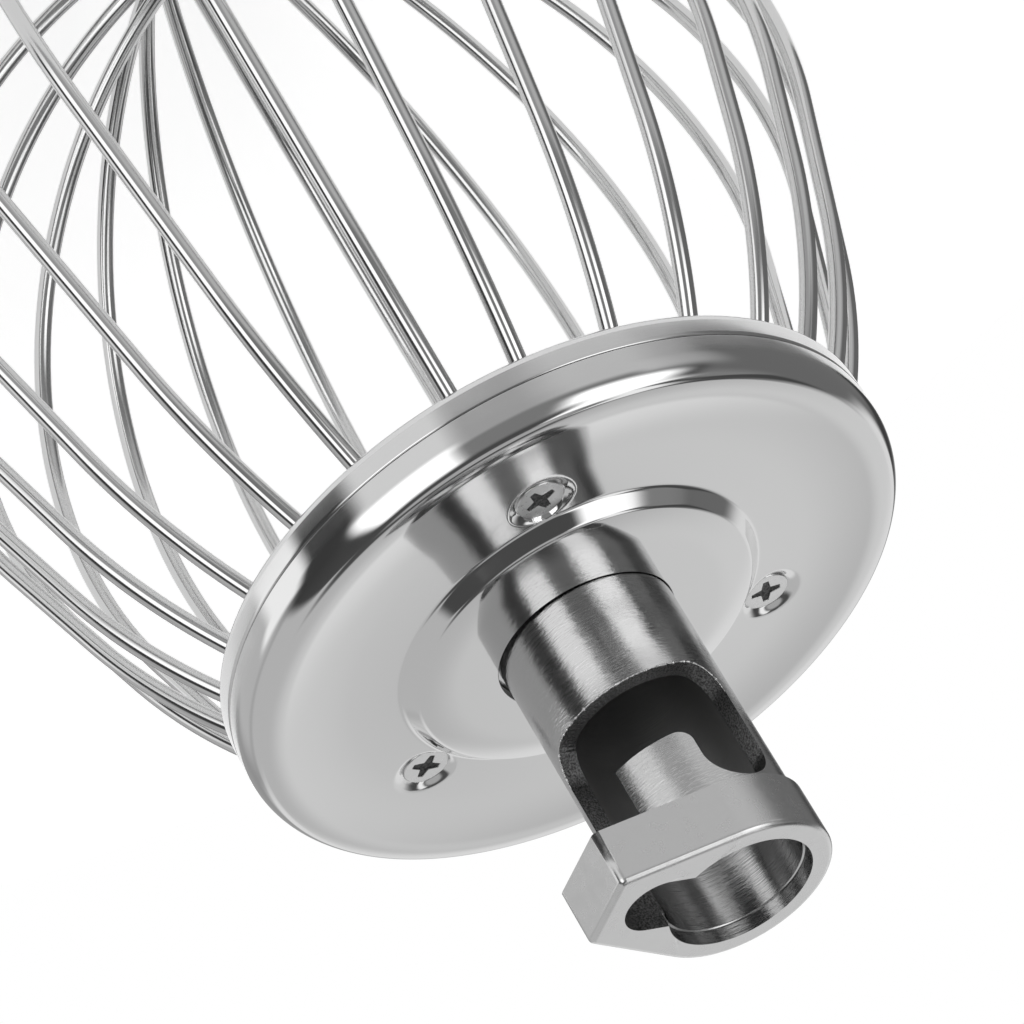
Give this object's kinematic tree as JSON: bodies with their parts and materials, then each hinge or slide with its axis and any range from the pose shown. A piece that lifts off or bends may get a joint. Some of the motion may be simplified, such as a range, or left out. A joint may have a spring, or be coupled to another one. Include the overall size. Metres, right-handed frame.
{
  "type": "stand mixer wire whisk",
  "caption": "Balloon wire whisk for a planetary stand mixer: spring wire loops held in a round polished hub, with a bayonet socket that locks on the mixer's drive shaft and pin.",
  "frame": {"origin": "on the socket's axis, level with the top of the cover's boss, inside the bore", "axes": "+Z along the socket to its mouth, up as the whisk hangs in the mixer; -Y is the side of the bayonet slot's tongue"},
  "size_m": [0.163, 0.1702, 0.2517],
  "materials": {
    "turned_steel": "satin ground",
    "polished_steel": "mirror polished",
    "wire_steel": "bright drawn",
    "screw_steel": "bright"
  },
  "bodies": {
    "root": {"shank": "turned_steel", "clamp_flange": "turned_steel", "cover": "polished_steel", "wire_plate": "polished_steel", "cover_screws": "screw_steel", "wire_01": "wire_steel", "wire_02": "wire_steel", "wire_03": "wire_steel", "wire_04": "wire_steel", "wire_05": "wire_steel", "wire_06": "wire_steel", "wire_07": "wire_steel", "wire_08": "wire_steel", "wire_09": "wire_steel", "wire_10": "wire_steel", "wire_11": "wire_steel", "wire_12": "wire_steel"}
  },
  "joints": []
}
